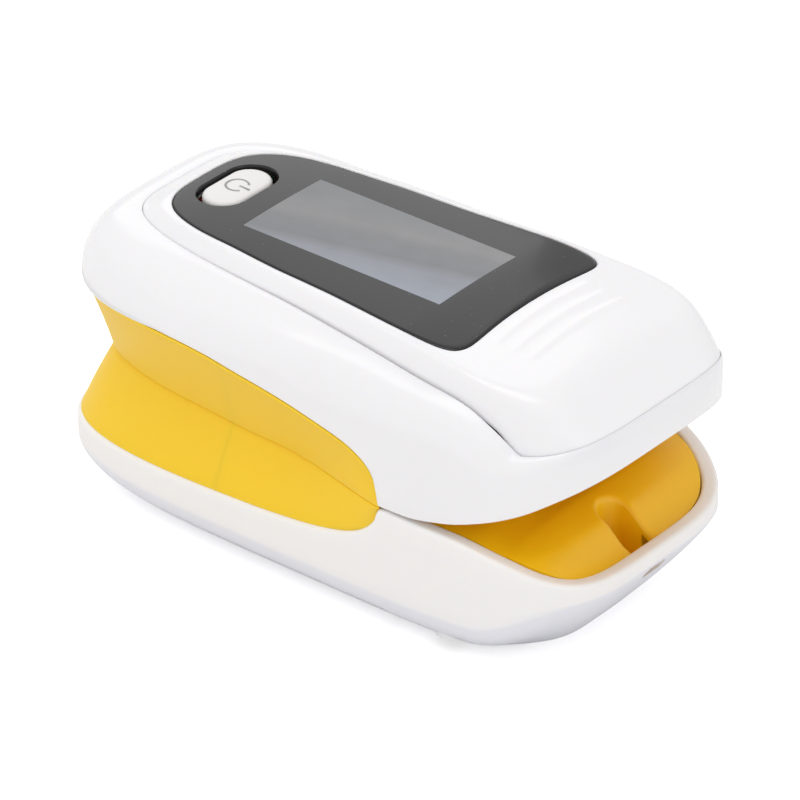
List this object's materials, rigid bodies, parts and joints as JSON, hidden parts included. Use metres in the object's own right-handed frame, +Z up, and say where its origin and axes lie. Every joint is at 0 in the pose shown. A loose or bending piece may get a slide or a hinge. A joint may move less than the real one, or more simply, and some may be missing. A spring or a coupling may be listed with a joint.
{
  "type": "fingertip pulse oximeter",
  "caption": "Fingertip pulse oximeter: spring-closed two-jaw clamp with a dark display window and power button on top, and soft yellow skirts between white shells.",
  "frame": {"origin": "centre of the bounding box, on the underside", "axes": "+X towards the end the finger enters, +Y across, +Z up through the display"},
  "size_m": [0.064, 0.0334, 0.0307],
  "materials": {
    "upper_white": "moulded gloss ABS",
    "lower_white": "moulded satin ABS",
    "button_white": "moulded satin ABS with a grey power symbol",
    "yellow_plastic": "satin moulded plastic",
    "yellow_silicone": "soft matt silicone",
    "smoked_window": "polished smoked acrylic",
    "display_glass": "smooth display glass",
    "clear_lens": "clear polished lens",
    "circuit_board": "solder mask over fibreglass",
    "black_plastic": "fine matt",
    "flex_film": "polyimide film",
    "cell_wrap": "shrink-wrapped cell sleeve",
    "steel": "plated spring and screw steel"
  },
  "bodies": {
    "lower_jaw": {"lower_shell": "lower_white", "lower_liner": "yellow_plastic", "lower_skirt": "yellow_silicone", "battery_tray": "black_plastic", "battery_left": "cell_wrap", "battery_right": "cell_wrap", "cell_spring_left": "steel", "cell_spring_right": "steel", "front_contact_left": "steel", "front_contact_right": "steel", "rear_contact": "steel", "sensor_window": "clear_lens", "photodiode": "black_plastic", "sensor_board": "circuit_board", "flex_cable": "flex_film", "hinge_pin": "steel", "torsion_spring_left": "steel", "torsion_spring_right": "steel", "case_screw_1": "steel", "case_screw_2": "steel", "case_screw_3": "steel", "case_screw_4": "steel"},
    "upper_jaw": {"upper_shell": "upper_white", "top_panel": "upper_white", "display_window": "smoked_window", "display_module": "display_glass", "display_gasket": "black_plastic", "main_board": "circuit_board", "processor_chip": "black_plastic", "tactile_switch": "black_plastic", "upper_liner": "yellow_plastic", "upper_skirt": "yellow_silicone", "emitter_window": "clear_lens", "led_emitter": "black_plastic", "board_screw_1": "steel", "board_screw_2": "steel", "board_screw_3": "steel", "board_screw_4": "steel"},
    "power_button": {"power_button": "button_white"},
    "battery_door": {"battery_door": "lower_white"}
  },
  "joints": [
    {"name": "jaw_hinge", "type": "hinge", "parent": "lower_jaw", "child": "upper_jaw", "pos_m": [-0.009, 0, 0.0156], "axis": [0, -1, 0], "range_deg": [0, 15], "stiffness_Nm_per_rad": 0.15, "springref_deg": -20.05, "deforming": ["upper_skirt", "lower_skirt", "torsion_spring_left", "torsion_spring_right", "flex_cable"]},
    {"name": "button_press", "type": "slide", "parent": "upper_jaw", "child": "power_button", "axis": [0, 0, -1], "range_m": [0, 0.0004], "stiffness_N_per_m": 400, "springref_m": -0.0015},
    {"name": "door_slide", "type": "slide", "parent": "lower_jaw", "child": "battery_door", "axis": [-1, 0, 0], "range_m": [0, 0.042]}
  ]
}
